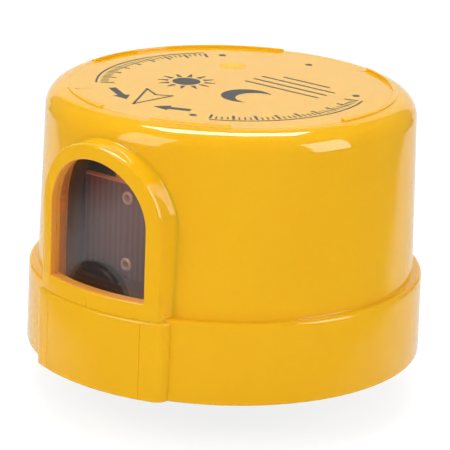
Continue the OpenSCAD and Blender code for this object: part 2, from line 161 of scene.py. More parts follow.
# Room in metres and degrees, white sweep in millimetres and degrees
ROOM_R = 2.4
ROOM_STEP = 10
ROOM_RISES = (-1, 13, 27, 42, 65, 89)
FLOOR_HALF = 3.0
SWEEP_FRONT = -30.0
SWEEP_FLARE_AT = 107
SWEEP_FLARE = 1.16
SWEEP_FRONT_BLUR = 22
SWEEP_HALF = 205.0
SWEEP_SPREAD = 0.68
SWEEP_SIDE_BLUR = 10
BACKDROP_SIDES = (31.5, 27.5)
BACKDROP_TOP = (46, 40)


class Wire:
    """A node's output; sums written on it in Python add Math nodes."""

    def __init__(self, bench, socket):
        self.bench = bench
        self.socket = socket

    def out(self, name):
        """Another output of the same node."""
        return Wire(self.bench, self.socket.node.outputs[name])

    def maths(self, operation, *values):
        return self.bench.node("ShaderNodeMath", {"operation": operation}, dict(enumerate(values)))

    def __add__(self, other):
        return self.maths("ADD", self, other)

    def __sub__(self, other):
        return self.maths("SUBTRACT", self, other)

    def __rsub__(self, other):
        return self.maths("SUBTRACT", other, self)

    def __mul__(self, other):
        return self.maths("MULTIPLY", self, other)

    def __truediv__(self, other):
        return self.maths("DIVIDE", self, other)

    def __mod__(self, other):
        return self.maths("FLOORED_MODULO", self, other)

    def power(self, other):
        return self.maths("POWER", self, other)

    def floor(self):
        return self.maths("FLOOR", self)

    def size(self):
        return self.maths("ABSOLUTE", self)

    __radd__ = __add__
    __rmul__ = __mul__


class Bench:
    """A node tree of any kind, filled by one method."""

    def __init__(self, tree):
        self.tree = tree

    def node(self, kind, settings=None, inputs=None, output=0):
        made = self.tree.nodes.new(kind)
        for name, value in (settings or {}).items():
            setattr(made, name, value)
        for key, value in (inputs or {}).items():
            self.put(made.inputs[key], value)
        return Wire(self, made.outputs[output]) if made.outputs else made

    def put(self, socket, value):
        if isinstance(value, Wire):
            self.tree.links.new(value.socket, socket)
        else:
            socket.default_value = value


class Finish(Bench):
    """A material on one Principled shader, with constants set on its sockets."""

    def __init__(self, name, **constants):
        self.material = bpy.data.materials.new(name)
        self.material.use_nodes = True
        super().__init__(self.material.node_tree)
        self.shader = self.tree.nodes["Principled BSDF"]
        for key, value in constants.items():
            self.shader.inputs[key.replace("_", " ")].default_value = value
        self.place = self.node("ShaderNodeTexCoord", output="Object")

    def feed(self, **wires):
        for key, value in wires.items():
            self.put(self.shader.inputs[key.replace("_", " ")], value)

    def principled(self):
        return Wire(self, self.shader.outputs[0])

    def surface(self, shader):
        """Puts another shader where the Principled one was."""
        self.put(self.tree.nodes["Material Output"].inputs["Surface"], shader)

    def noise(self, grain_mm, detail=2.0, roughness=0.5, stretch=(1, 1, 1)):
        """Noise whose grain is about that many millimetres, drawn out along an axis by stretch."""
        place = self.node("ShaderNodeMapping", {"vector_type": "TEXTURE"}, {
            "Vector": self.place, "Scale": stretch})
        return self.node("ShaderNodeTexNoise", {}, {
            "Vector": place, "Scale": 1 / (grain_mm * MM), "Detail": detail, "Roughness": roughness})

    def cells(self, grain_mm):
        return self.node("ShaderNodeTexVoronoi", {}, {"Vector": self.place, "Scale": 1 / (grain_mm * MM)})

    def axis(self, name):
        """An Object coordinate in millimetres."""
        return self.node("ShaderNodeSeparateXYZ", {}, {0: self.place}, name) * (1 / MM)

    def away_from(self, place, axes):
        """Distance in millimetres from a place given on two axes."""
        first, second = ((self.axis(name) - middle).power(2) for name, middle in zip(axes, place))
        return (first + second).power(0.5)

    def mix(self, share, first, second):
        """A colour between two others."""
        return self.node("ShaderNodeMix", {"data_type": "RGBA"}, {0: share, 6: first, 7: second}, 2)

    def clear_step(self, value, low, high):
        """0 at low, 1 at high, and a straight slope between; low may be the larger."""
        return self.node("ShaderNodeMapRange", {"clamp": True}, {0: value, 1: low, 2: high})

    def relief(self, height, depth_mm, strength=1.0):
        """Bump of that depth from a height between 0 and 1."""
        self.feed(Normal=self.node("ShaderNodeBump", {}, {
            "Strength": strength, "Distance": depth_mm * MM, "Height": height}))


def colour(red, green, blue):
    return (red, green, blue, 1.0)


# Finishes


def yellow_plastic():
    """Moulded yellow, rough where the gate was torn off.

    The faces marked for painted glow get a painted orange colour and a painted orange emission in place of
    light that comes through the wall, most on the ceiling.
    """
    f = Finish("yellow_plastic", IOR=1.47, Subsurface_Weight=0.4, Subsurface_Scale=0.0008,
               Subsurface_Radius=(1.0, 0.42, 0.05), Emission_Strength=1.0)
    painted_glow_faces = f.node("ShaderNodeAttribute", {"attribute_name": PAINTED_GLOW}, output="Fac")
    flow = f.noise(16, 3.0, stretch=(1, 1, 2.2))
    peel = f.noise(2.6, 1.0)
    grain = f.noise(0.35, 2.0)
    outside = f.mix(flow, colour(0.87, 0.455, 0.007), colour(0.90, 0.50, 0.010))
    # Painted light: the inside is coloured more orange than the outside, and glows orange, brightest on the
    # ceiling, as if lit through the wall
    inside_painted_orange = f.mix(flow, colour(0.90, 0.33, 0.03), colour(0.93, 0.38, 0.04))
    glow = f.mix(flow, colour(0.075, 0.052, 0.018), colour(0.10, 0.072, 0.025))
    height = f.axis("Z")
    ceiling = f.clear_step(height, CEILING_Z - 0.6, CEILING_Z - 0.1)
    glow = f.mix(ceiling, glow, colour(0.50, 0.27, 0.06))
    from_gate = f.away_from(polar(GATE_R, GATE_TURN), "XY")
    torn = f.clear_step(from_gate, GATE_D / 2 + 0.2, GATE_D / 2)
    torn = torn * f.clear_step(height, FIELD_Z - 0.01, FIELD_Z - 0.06)
    torn = torn * f.clear_step(height, FIELD_Z - 2, FIELD_Z - 1)
    f.feed(Base_Color=f.mix(painted_glow_faces, outside, inside_painted_orange), Emission_Color=f.mix(painted_glow_faces, colour(0, 0, 0), glow),
           Roughness=0.03 + 0.03 * flow + 0.02 * grain + 0.25 * painted_glow_faces + 0.55 * torn)
    f.relief(peel * 0.75 + grain * 0.25, 0.004, 0.3)
    return f.material


def smoked_pane():
    """Tinted clear sheet with a faint haze and a grey film that paints a reflection veil, thicker at the
    lower right, left off at the upper left where the frame's shadow falls and on a clear round spot.
    """
    f = Finish("smoked_pane", IOR=1.5)
    cloud = f.noise(7, 3.0)
    # Painted reflection: a grey film stronger towards the lower right, none at the upper left where the
    # frame's shadow falls
    slant = f.axis("X") * 0.55 - (f.axis("Z") - PAINTED_VEIL_MIDDLE_Z) * 0.84 + (cloud - 0.5) * 5
    from_spot = f.away_from(CLEAR_SPOT, "XZ")
    kept = 0.05 + 0.95 * f.clear_step(from_spot, CLEAR_SPOT_R - 0.1, CLEAR_SPOT_R + 0.4)
    haze_and_painted_veil = 0.004 + (0.11 * f.clear_step(slant, -6, 2.5) + 0.01 * cloud) * kept
    f.feed(Base_Color=f.mix(cloud, colour(0.35, 0.365, 0.39), colour(0.44, 0.455, 0.48)),
           Roughness=0.4 + 0.2 * cloud)
    clear = f.node("ShaderNodeBsdfTransparent", {}, {"Color": colour(0.95, 0.87, 0.84)})
    veiled = f.node("ShaderNodeMixShader", {}, {0: haze_and_painted_veil, 1: clear, 2: f.principled()})
    facing = f.node("ShaderNodeLayerWeight", {}, {"Blend": 0.5}, "Facing")
    polish = f.node("ShaderNodeBsdfAnisotropic", {}, {"Color": colour(1, 1, 1), "Roughness": 0.03})
    f.surface(f.node("ShaderNodeMixShader", {}, {0: 0.04 + 0.96 * facing.power(5), 1: veiled, 2: polish}))
    return f.material


def black_plastic():
    f = Finish("black_plastic", IOR=1.46)
    flow = f.noise(5, 3.0)
    grain = f.noise(0.22, 3.0)
    f.feed(Base_Color=f.mix(flow, colour(0.014, 0.015, 0.018), colour(0.034, 0.037, 0.042)),
           Roughness=0.3 + 0.12 * grain + 0.06 * flow)
    f.relief(grain, 0.004, 0.3)
    return f.material


def black_phenolic():
    f = Finish("black_phenolic", IOR=1.5)
    cloud = f.noise(9, 4.0)
    grain = f.noise(0.3, 4.0, 0.6)
    fleck = f.clear_step(f.noise(0.6, 1.0), 0.66, 0.74)
    resin = f.mix(cloud, colour(0.011, 0.010, 0.010), colour(0.028, 0.025, 0.023))
    f.feed(Base_Color=f.mix(fleck, resin, colour(0.055, 0.046, 0.038)),
           Roughness=0.36 + 0.16 * grain + 0.08 * cloud)
    f.relief(grain * 0.7 + cloud * 0.3, 0.03, 0.5)
    return f.material


def gasket_foam():
    f = Finish("gasket_foam", IOR=1.4)
    pores = f.cells(0.55)
    fine = f.noise(0.25, 3.0)
    cloud = f.noise(6, 3.0)
    pit = f.clear_step(pores, 0.08, 0.42)
    share = pit * (0.6 + 0.4 * cloud)
    # Painted shade: the bottoms of the pores are darker
    f.feed(Base_Color=f.mix(share, colour(0.012, 0.012, 0.013), colour(0.062, 0.061, 0.060)),
           Roughness=0.82 + 0.12 * fine)
    f.relief(pit * 0.75 + fine * 0.25, 0.11, 0.9)
    return f.material


def metal(name, dark, bright, roughness, brush_mm, stretch, bare=1.0):
    """Drawn or rolled metal: brushed grain along one axis, clouding and fine pits.

    Bare is 1 for clean metal and less where the surface is dulled.
    """
    f = Finish(name, Metallic=bare)
    brush = f.noise(brush_mm, 3.0, 0.6, stretch)
    cloud = f.noise(4, 4.0, 0.6)
    pit = f.clear_step(f.noise(0.4, 2.0), 0.68, 0.76)
    f.feed(Base_Color=f.mix(pit * 0.5, f.mix(cloud, dark, bright), dark),
           Roughness=roughness + 0.14 * cloud + 0.1 * brush + 0.1 * pit)
    f.relief(brush * 0.8 + pit * 0.2, 0.006, 0.5)
    return f.material


def brass():
    return metal("brass", colour(0.50, 0.30, 0.085), colour(0.80, 0.56, 0.22),
                 roughness=0.2, brush_mm=0.12, stretch=(1, 1, 14))


def tinned_metal():
    return metal("tinned_metal", colour(0.42, 0.40, 0.37), colour(0.78, 0.76, 0.72),
                 roughness=0.24, brush_mm=0.1, stretch=(3, 3, 3))


def eyelet_metal():
    return metal("eyelet_metal", colour(0.62, 0.52, 0.40), colour(0.90, 0.80, 0.66),
                 roughness=0.36, brush_mm=0.1, stretch=(3, 3, 3), bare=0.4)


def bimetal():
    return metal("bimetal", colour(0.33, 0.22, 0.14), colour(0.62, 0.45, 0.33),
                 roughness=0.28, brush_mm=0.1, stretch=(10, 3, 1))


def cell_ceramic():
    """Light cell: a brown sensing film between fine upright electrode tracks, and an upper edge painted pale
    as if lit from above.
    """
    f = Finish("cell_ceramic", IOR=1.5)
    pitch_mm = 1.5
    across = f.axis("X")
    cloud = f.noise(5, 4.0, 0.6)
    thread = f.noise(0.8, 2.0, 0.5, (1, 1, 60))
    stripe = (((across * (1 / pitch_mm) + 0.5 * thread) % 1.0) - 0.5).size() * 2.0
    track = f.clear_step(stripe + 0.4 * thread, 0.35, 1.15)
    film = f.mix(cloud, colour(0.12, 0.050, 0.045), colour(0.22, 0.100, 0.090))
    face = f.mix(track * (0.25 + 0.5 * thread), film, colour(0.25, 0.20, 0.21))
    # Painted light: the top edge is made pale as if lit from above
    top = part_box("photocell")[1].z / MM
    painted_lit_top = f.clear_step(f.axis("Z"), top - 0.3, top - 0.1)
    pale = f.mix(cloud, colour(0.66, 0.40, 0.30), colour(0.80, 0.52, 0.40))
    f.feed(Base_Color=f.mix(painted_lit_top, face, pale), Roughness=0.34 + 0.2 * cloud - 0.08 * track)
    f.relief(track * 0.6 + thread * 0.4, 0.012, 0.5)
    return f.material


def black_epoxy():
    f = Finish("black_epoxy", IOR=1.5, Specular_IOR_Level=0.3)
    wave = f.noise(3.2, 2.0)
    dust = f.clear_step(f.noise(0.3, 2.0), 0.64, 0.72)
    coat = f.mix(wave, colour(0.005, 0.0048, 0.0045), colour(0.014, 0.013, 0.012))
    f.feed(Base_Color=f.mix(dust * 0.4, coat, colour(0.05, 0.045, 0.04)),
           Roughness=0.12 + 0.08 * wave + 0.1 * dust)
    f.relief(wave, 0.06, 0.4)
    return f.material


def heater_ceramic():
    f = Finish("heater_ceramic", IOR=1.5)
    cloud = f.noise(3, 4.0)
    speck = f.clear_step(f.noise(0.4, 2.0), 0.64, 0.72)
    fired = f.mix(cloud, colour(0.55, 0.50, 0.42), colour(0.74, 0.70, 0.62))
    f.feed(Base_Color=f.mix(speck, fired, colour(0.28, 0.22, 0.16)), Roughness=0.5 + 0.25 * cloud)
    f.relief(cloud * 0.5 + speck * 0.5, 0.03, 0.5)
    return f.material


def wire_cover():
    f = Finish("wire_cover", IOR=1.46)
    cloud = f.noise(2.5, 3.0)
    grain = f.noise(0.2, 2.0)
    f.feed(Base_Color=f.mix(cloud, colour(0.32, 0.035, 0.018), colour(0.48, 0.065, 0.03)),
           Roughness=0.34 + 0.2 * grain)
    f.relief(grain, 0.02, 0.5)
    return f.material


def sign_ink():
    f = Finish("sign_ink", IOR=1.45)
    patch = f.noise(3.5, 3.0)
    grain = f.noise(0.16, 3.0, 0.7)
    thin = f.clear_step(grain, 0.6, 0.78)
    ink = f.mix(patch, colour(0.012, 0.011, 0.010), colour(0.03, 0.027, 0.024))
    f.feed(Base_Color=f.mix(thin * 0.35, ink, colour(0.16, 0.10, 0.03)), Roughness=0.3 + 0.25 * grain)
    f.relief(grain, 0.01, 0.5)
    return f.material


# Sections and outlines in millimetres


def polar(radius, turn):
    """The place at a radius and a turn from the window."""
    return radius * math.sin(math.radians(turn)), -radius * math.cos(math.radians(turn))


def arc(centre, radius, start, end, steps):
    """Points of an arc from one angle to another, both ends included."""
    points = []
    for k in range(steps + 1):
        angle = math.radians(start + (end - start) * k / steps)
        points.append((centre[0] + radius * math.cos(angle), centre[1] + radius * math.sin(angle)))
    return points


def arch(half, foot, jamb_steps=6, crown_steps=72, sill_steps=28):
    """Points of an arched outline with a flat foot, once round from the left foot."""
    jamb = [foot + (SPRING_Z - foot) * k / jamb_steps for k in range(jamb_steps)]
    sill = [half - 2 * half * k / sill_steps for k in range(sill_steps)]
    points = [(-half, z) for z in jamb]
    points += arc((0, SPRING_Z), half, 180, 0, crown_steps)
    points += [(half, z) for z in reversed(jamb[1:])]
    return points + [(x, foot) for x in sill]


def cover_section():
    """Half section of the cover from the middle of its top, down the outside and up the inside."""
    inner_r = SHOULDER_R - WALL
    bend_in = (NECK_R - WALL - inner_r, CEILING_Z - inner_r)
    edge = (SKIRT_TOP_R - SKIRT_EDGE_R, SKIRT_TOP - SKIRT_EDGE_R)
    toe, crease, bands = 0.3, 0.18, 6
    step_in = SKIRT_TOP - WALL
    points = [(0, FIELD_Z), (16, FIELD_Z), (30, FIELD_Z)]
    points += arc((CROWN_R, SHOULDER_Z), SHOULDER_R, 90, 0, 20)
    points += [(BODY_R - (BODY_R - NECK_R) * k / bands, SKIRT_TOP + (SHOULDER_Z - SKIRT_TOP) * k / bands)
               for k in range(bands - 1, 0, -1)]
    points += arc((BODY_R + crease, SKIRT_TOP + crease), crease, 180, 270, 4)
    points += arc(edge, SKIRT_EDGE_R, 90, 0, 8)
    points += [(SKIRT_TOP_R + 0.08, 10), (SKIRT_TOP_R + 0.16, 5)]
    points += arc((SKIRT_R - toe, RIM_Z + toe), toe, 0, -90, 4)
    points += arc((BORE_R + toe, RIM_Z + toe), toe, -90, -180, 4)
    points += [(BORE_R, 6), (BORE_R, step_in), (BODY_R - WALL, step_in), (NECK_R - WALL + 0.5, 32)]
    points += arc(bend_in, inner_r, 0, 90, 8)
    return points + [(14, CEILING_Z), (0, CEILING_Z)]


# Making meshes


def new_object(name, data):
    made = bpy.data.objects.new(name, data)
    bpy.context.scene.collection.objects.link(made)
    return made


def mesh_of(name, points, faces=(), edges=()):
    """An object from points in millimetres."""
    mesh = bpy.data.meshes.new(name)
    mesh.from_pydata([Vector(p) * MM for p in points], edges, faces)
    mesh.update()
    return new_object(name, mesh)


@contextmanager
def worked(mesh):
    """Opens a mesh for editing and writes it back."""
    work = bmesh.new()
    work.from_mesh(mesh)
    yield work
    work.to_mesh(mesh)
    work.free()


def settle(piece):
    """Turns the piece's modifiers into a plain mesh."""
    seen = piece.evaluated_get(bpy.context.evaluated_depsgraph_get())
    made = bpy.data.meshes.new_from_object(seen)
    piece.modifiers.clear()
    piece.data = made
    return piece


def face_outwards(piece, weld=SAME_SPOT):
    """Merges doubles and turns the faces outwards."""
    with worked(piece.data) as work:
        bmesh.ops.remove_doubles(work, verts=work.verts, dist=weld)
        bmesh.ops.recalc_face_normals(work, faces=work.faces)
    return piece


def moved_out(piece, radius, turn):
    """Moves a piece from the axis to a radius and a turn from the window."""
    x, y = polar(radius, turn)
    piece.data.transform(Matrix.Translation((x * MM, y * MM, 0)))
    return piece


def facing_window(piece, place):
    """Lays a turned piece's axis along Y and moves it to a place."""
    piece.data.transform(Matrix.Translation(place) @ Matrix.Rotation(math.radians(90), 4, "X"))
    return piece


def smooth(piece, angle=32):
    """Smooth shading with sharp edges past an angle."""
    piece.data.shade_smooth()
    piece.data.set_sharp_from_angle(angle=math.radians(angle))
    return piece


def rounded(piece, width, angle=34, segments=3):
    """Rounds the edges of a piece and evens out its shading."""
    bevel = piece.modifiers.new("rounding", "BEVEL")
    bevel.width = width * MM
    bevel.segments = segments
    bevel.limit_method = "ANGLE"
    bevel.angle_limit = math.radians(angle)
    bevel.harden_normals = False
    return smooth(settle(piece), angle)


def combined(base, tool, operation):
    """The base after a Boolean with a tool, which is used up."""
    step = base.modifiers.new("step", "BOOLEAN")
    step.operation = operation
    step.solver = "EXACT"
    step.object = tool
    settle(base)
    bpy.data.objects.remove(tool)
    return base


def loft(name, loops, closed=False):
    """Quads between point loops of equal length, with ends capped or joined."""
    count = len(loops[0])
    points = [p for loop in loops for p in loop]
    spans = len(loops) if closed else len(loops) - 1
    faces = []
    for i in range(spans):
        here, there = i * count, (i + 1) % len(loops) * count
        for k in range(count):
            after = (k + 1) % count
            faces.append((here + k, here + after, there + after, there + k))
    if not closed:
        faces += [tuple(range(count)), tuple(reversed(range(len(points) - count, len(points))))]
    return face_outwards(mesh_of(name, points, faces))


def prism(name, outline, from_y, to_y):
    """An outline in X and Z carried along Y."""
    return loft(name, [[(x, y, z) for x, z in outline] for y in (from_y, to_y)])


# Recipes in Geometry Nodes


class Recipe(Bench):
    """A Geometry Nodes tree with named inputs."""

    def __init__(self, name, **sizes):
        super().__init__(bpy.data.node_groups.new(name, "GeometryNodeTree"))
        self.keys = {}
        self.add_input("Shape", "NodeSocketGeometry")
        self.tree.interface.new_socket("Shape", in_out="OUTPUT", socket_type="NodeSocketGeometry")
        for key, kind in sizes.items():
            self.add_input(key, kind)
        self.add_input("Finish", "NodeSocketMaterial")
        self.given = self.node("NodeGroupInput")

    def add_input(self, key, kind):
        self.keys[key] = self.tree.interface.new_socket(key, in_out="INPUT", socket_type=kind).identifier

    def value(self, key):
        return self.given.out(key)

    def end(self, shape):
        """Closes the tree with its finish on plain geometry."""
        plain = self.node("GeometryNodeRealizeInstances", {}, {0: shape})
        dressed = self.node("GeometryNodeSetMaterial", {}, {
            "Geometry": plain, "Material": self.value("Finish")})
        self.node("NodeGroupOutput", {}, {0: dressed})
        return self

    def make(self, piece, **values):
        """Runs the tree on a piece and keeps the result as its mesh."""
        step = piece.modifiers.new(self.tree.name, "NODES")
        step.node_group = self.tree
        for key, value in values.items():
            step[self.keys[key]] = value
        piece.update_tag()
        return settle(piece)


def lathe_recipe():
    """Turns a section, given as points in radius and height, once round the axis."""
    r = Recipe("turned", Steps="NodeSocketInt")
    steps = r.value("Steps")
    section = r.value("Shape")
    rows = r.node("GeometryNodeAttributeDomainSize", {"component": "MESH"}, {0: section})
    grid = r.node("GeometryNodeMeshGrid", {}, {"Vertices X": steps + 1, "Vertices Y": rows})
    index = r.node("GeometryNodeInputIndex")
    along = index % rows
    turn = (index / rows).floor() * (2 * math.pi) / steps
    spot = r.node("GeometryNodeSampleIndex", {"data_type": "FLOAT_VECTOR"}, {
        0: section, 1: r.node("GeometryNodeInputPosition"), 2: along})
    turned = r.node("ShaderNodeVectorRotate", {"rotation_type": "Z_AXIS"}, {"Vector": spot, "Angle": turn})
    placed = r.node("GeometryNodeSetPosition", {}, {"Geometry": grid, "Position": turned})
    return r.end(r.node("GeometryNodeMergeByDistance", {}, {"Geometry": placed, "Distance": SAME_SPOT}))


def around_recipe():
    """Repeats a shape at even turns round the axis."""
    r = Recipe("around_axis", Count="NodeSocketInt", First="NodeSocketFloat")
    count = r.value("Count")
    points = r.node("GeometryNodePoints", {}, {"Count": count})
    turn = r.node("GeometryNodeInputIndex") * (2 * math.pi) / count + r.value("First")
    spin = r.node("ShaderNodeCombineXYZ", {}, {2: turn})
    return r.end(r.node("GeometryNodeInstanceOnPoints", {}, {
        "Points": points, "Instance": r.value("Shape"), "Rotation": spin}))


def sector_recipe():
    """Sweeps a section along an arc round the axis, from a first turn over a sweep."""
    r = Recipe("swept_sector", Radius="NodeSocketFloat", First="NodeSocketFloat", Sweep="NodeSocketFloat",
               Steps="NodeSocketInt")
    path = r.node("GeometryNodeCurveArc", {}, {
        "Resolution": r.value("Steps"), "Radius": r.value("Radius"), "Start Angle": r.value("First"),
        "Sweep Angle": r.value("Sweep")})
    section = r.node("GeometryNodeMeshToCurve", {}, {0: r.value("Shape")})
    return r.end(r.node("GeometryNodeCurveToMesh", {}, {
        "Curve": path, "Profile Curve": section, "Fill Caps": True}))


TURNED = lathe_recipe()
AROUND = around_recipe()
SECTOR = sector_recipe()


def turned(name, section, material, steps=256):
    """A solid turned from a section of (radius, height) points that starts and ends on the axis or closes."""
    edges = [(k, k + 1) for k in range(len(section) - 1)]
    piece = mesh_of(name, [(r, 0, z) for r, z in section], (), edges)
    return face_outwards(TURNED.make(piece, Steps=steps, Finish=material))


def repeated(piece, count, first, material):
    """A piece repeated round the axis, with the first copy turned from where it stands."""
    return face_outwards(AROUND.make(piece, Count=count, First=math.radians(first), Finish=material))


def sector(name, radius, section, first, sweep, material, steps=90):
    """A section of (outward, upward) points swept over turns from the window."""
    edges = [(k, (k + 1) % len(section)) for k in range(len(section))]
    piece = mesh_of(name, [(u, -v, 0) for u, v in section], (), edges)
    made = SECTOR.make(piece, Radius=radius * MM, First=math.radians(first - 90), Sweep=math.radians(sweep),
                       Steps=steps, Finish=material)
    return face_outwards(made)


# Pieces


FINISHES = {}


def finish(make):
    """The material of a finish, made once."""
    if make not in FINISHES:
        FINISHES[make] = make()
    return FINISHES[make]


def hand_over(piece, slot, material, *nodes):
    """Dresses a piece, lets it ride on the body and stand for its nodes."""
    piece.data.materials.clear()
    piece.data.materials.append(material)
    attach(piece, BODY)
    if nodes:
        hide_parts(*nodes)
    return piece


def on_cylinder(x, z, radius):
    """A point of the window's plane pushed out to a radius round the axis."""
    return x, -math.sqrt(radius * radius - x * x), z


def body_radius(z):
    """Radius of the cover's outside above the skirt."""
    if z > SHOULDER_Z:
        return CROWN_R + math.sqrt(max(SHOULDER_R ** 2 - (z - SHOULDER_Z) ** 2, 0))
    return BODY_R - (BODY_R - NECK_R) * max(z - SKIRT_TOP, 0) / (SHOULDER_Z - SKIRT_TOP)


def frame_foot(half):
    """Level of the frame's foot at a half width: the sill, the pocket's floor, then down into the skirt."""
    if half <= POCKET_HALF:
        return SILL_Z + (POCKET_FOOT - SILL_Z) * (half - OPENING_HALF) / (POCKET_HALF - OPENING_HALF)
    share = min((half - POCKET_HALF) / (FRAME_HALF - POCKET_HALF), 1)
    return POCKET_FOOT + (FRAME_ROOT_Z - POCKET_FOOT) * share


def window_frame():
    """The arched frame: a section of half width and radius carried round the arch."""
    front, base = FRAME_HALF - FRAME_LEAN, FRAME_HALF + FRAME_LEAN
    draft = math.degrees(math.atan2(base - front, FRAME_R - BODY_R))
    seat, lining = OPENING_HALF + SEAT_DEEP, OPENING_HALF + 0.08
    tight, broad = FRAME_EDGE_R, FRAME_BROAD_R
    turn_x, turn_y = math.cos(math.radians(FRAME_BREAK)), math.sin(math.radians(FRAME_BREAK))
    middle = front - tight * turn_x + broad * (turn_x - math.cos(math.radians(draft)))
    fine = arc((middle, FRAME_R - tight), tight, FRAME_BREAK, 90, 7)
    wide = arc((fine[0][0] - broad * turn_x, fine[0][1] - broad * turn_y), broad, draft, FRAME_BREAK, 7)
    section = wide[:-1] + fine
    section += arc((OPENING_HALF + LIP_R, FRAME_R - LIP_R), LIP_R, 90, 180, 5)
    section += [(OPENING_HALF, SEAT_R), (seat, SEAT_R - 0.05), (seat, SEAT_R - 0.3)]
    section += [(lining, SEAT_R - 0.4), (lining, PANE_R)]
    section += [(POCKET_HALF, PANE_R), (POCKET_HALF, FRAME_BACK_R), (base + FRAME_FILLET_R, FRAME_BACK_R)]
    loops = [[on_cylinder(x, z, radius) for x, z in arch(half, frame_foot(half))]
             for half, radius in section]
    sink = 0.08
    for run, rise in arc((FRAME_FILLET_R, FRAME_FILLET_R), FRAME_FILLET_R, 270, 180, 6):
        half = base + run
        outline = arch(half, frame_foot(half))
        loops.append([on_cylinder(x, z, body_radius(z) + rise - sink) for x, z in outline])
    return loft("frame", loops, closed=True)


def panel_plan(inset):
    """Plan of the skirt's panel, drawn in by an inset, with its back inside the skirt's wall."""
    corner_x = PANEL_HALF - PANEL_CORNER_R
    reach = PANEL_R - PANEL_CORNER_R
    side = math.degrees(math.asin(corner_x / reach))
    corner_y = -reach * math.cos(math.radians(side))
    depth = 3.6
    back_y = corner_y + depth
    points = [(PANEL_HALF - inset, back_y)]
    points += arc((corner_x, corner_y), PANEL_CORNER_R - inset, 0, side - 90, 8)
    points += arc((0, 0), PANEL_R - inset, side - 90, -side - 90, 28)[1:-1]
    points += arc((-corner_x, corner_y), PANEL_CORNER_R - inset, -side - 90, -180, 8)
    return points + [(-PANEL_HALF + inset, back_y)]


def skirt_panel():
    """The skirt's panel, lofted from its foot to its rounded upper edge."""
    toe, middle_z = 0.2, 7
    levels = [(RIM_Z, toe), (RIM_Z + toe, 0), (middle_z, 0)]
    levels += [(PANEL_TOP - PANEL_EDGE_R + up, PANEL_EDGE_R - run)
               for run, up in arc((0, 0), PANEL_EDGE_R, 0, 90, 5)]
    return loft("panel", [[(x, y, z) for x, y in panel_plan(inset)] for z, inset in levels])


def creases():
    """Cutters for the two fine mould lines down the panel, below the window's jambs."""
    half_width, depth, past = 0.16, 0.14, 0.3
    proud = PANEL_R + 0.05
    cutters = []
    for side in (-1, 1):
        turn = side * math.degrees(math.asin(CREASE_U / PANEL_R))
        loops = []
        for z in (RIM_Z - past, PANEL_TOP + past):
            wedge = [(-half_width, proud), (half_width, proud), (0, PANEL_R - depth)]
            loops.append([(*turned_place(u, r, turn), z) for u, r in wedge])
        cutters.append(loft("crease", loops))
    return cutters


def turned_place(across, out, turn):
    """A place given across and out from the axis, turned from the window."""
    cosine, sine = math.cos(math.radians(turn)), math.sin(math.radians(turn))
    return across * cosine + out * sine, across * sine - out * cosine


def grip_ridges(material):
    """The four raised stretches of the rim; each crest falls outwards to a small fillet at its foot."""
    half = (RIDGE_OUT_R - RIDGE_IN_R) / 2
    middle = (RIDGE_OUT_R + RIDGE_IN_R) / 2
    crest, fillet, sink, low = 0.15, 0.15, 0.06, FIELD_Z - 1.2
    slope = 90 - math.degrees(math.atan2(RIDGE_FALL, 2 * half))
    section = [(-half, low), (half + fillet, low)]
    section += arc((half + fillet, FIELD_Z - sink + fillet), fillet, 270, 180, 4)
    section += arc((half - crest, RIDGE_TOP - RIDGE_FALL - crest), crest, 0, slope, 3)
    section += arc((crest - half, RIDGE_TOP - crest), crest, slope, 180, 4)
    return [sector("ridge", middle, section, first, sweep, material) for first, sweep in RIDGES]


def scoop_cutters(material):
    """Cutters for the slopes that fall from the label field to the inner feet of the ridges."""
    fall = SCOOP_DEPTH / SCOOP_W
    lead, clear = 0.2, FIELD_Z + 0.5
    start, end = -SCOOP_W - lead, 0.5
    section = [(start, FIELD_Z + lead * fall), (end, FIELD_Z - (SCOOP_W + end) * fall),
               (end, clear), (start, clear)]
    return [sector("scoop", RIDGE_IN_R, section, first + SCOOP_TUCK, sweep - 2 * SCOOP_TUCK, material)
            for first, sweep in RIDGES]


def low_rim(material):
    """The low bead of the rim that shows between the ridges."""
    r, low = 0.12, FIELD_Z - 1
    section = [(GAP_IN_R, low)] + arc((GAP_IN_R + r, RIM_TOP - r), r, 180, 90, 3)
    section += arc((GAP_OUT_R - r, RIM_TOP - r), r, 90, 0, 3) + [(GAP_OUT_R, low)]
    return turned("low_rim", section + section[:1], material)


def gate_cutter(material):
    """Cutter for the moulding gate's dished dimple, with its stub left standing."""
    radius = GATE_D / 2
    low = FIELD_Z - GATE_DEPTH
    brim, clear = radius + 0.3, FIELD_Z + 0.5
    stub_r, stub_h = 0.6, 0.3
    dish = (0.75, 1.1, 1.5, 1.9, 2.3, 2.6, radius, brim)
    section = [(0, low + stub_h), (stub_r * 0.6, low + stub_h - 0.06), (stub_r, low + 0.1)]
    section += [(r, low + GATE_DEPTH * (r / radius) ** 2) for r in dish]
    section += [(brim, clear), (0, clear)]
    return moved_out(turned("gate", section, material, 48), GATE_R, GATE_TURN)


def inner_ribs(material):
    """Ribs that stop the base plate, and the snap lugs under it."""
    rib_half, out, top = 0.8, BORE_R + WALL / 2, SKIRT_TOP - WALL / 2
    root = BODY_R - WALL + 0.1
    plan = [(-rib_half, -out), (rib_half, -out), (rib_half, -root), (-rib_half, -root)]
    rib = loft("rib", [[(x, y, z) for x, y in plan] for z in (FLOOR_Z, top)])
    ribs = repeated(rib, RIBS, 0, material)
    under, reach, lug_h, lug_half = GASKET_T, 0.8, 1.8, 10
    section = [(PLATE_R - reach - BORE_R, under), (out - BORE_R, under), (out - BORE_R, under - lug_h),
               (0, under - lug_h)]
    lug = sector("lug", BORE_R, section, -lug_half, 2 * lug_half, material, 16)
    return ribs, repeated(lug, LUGS, 45, material)


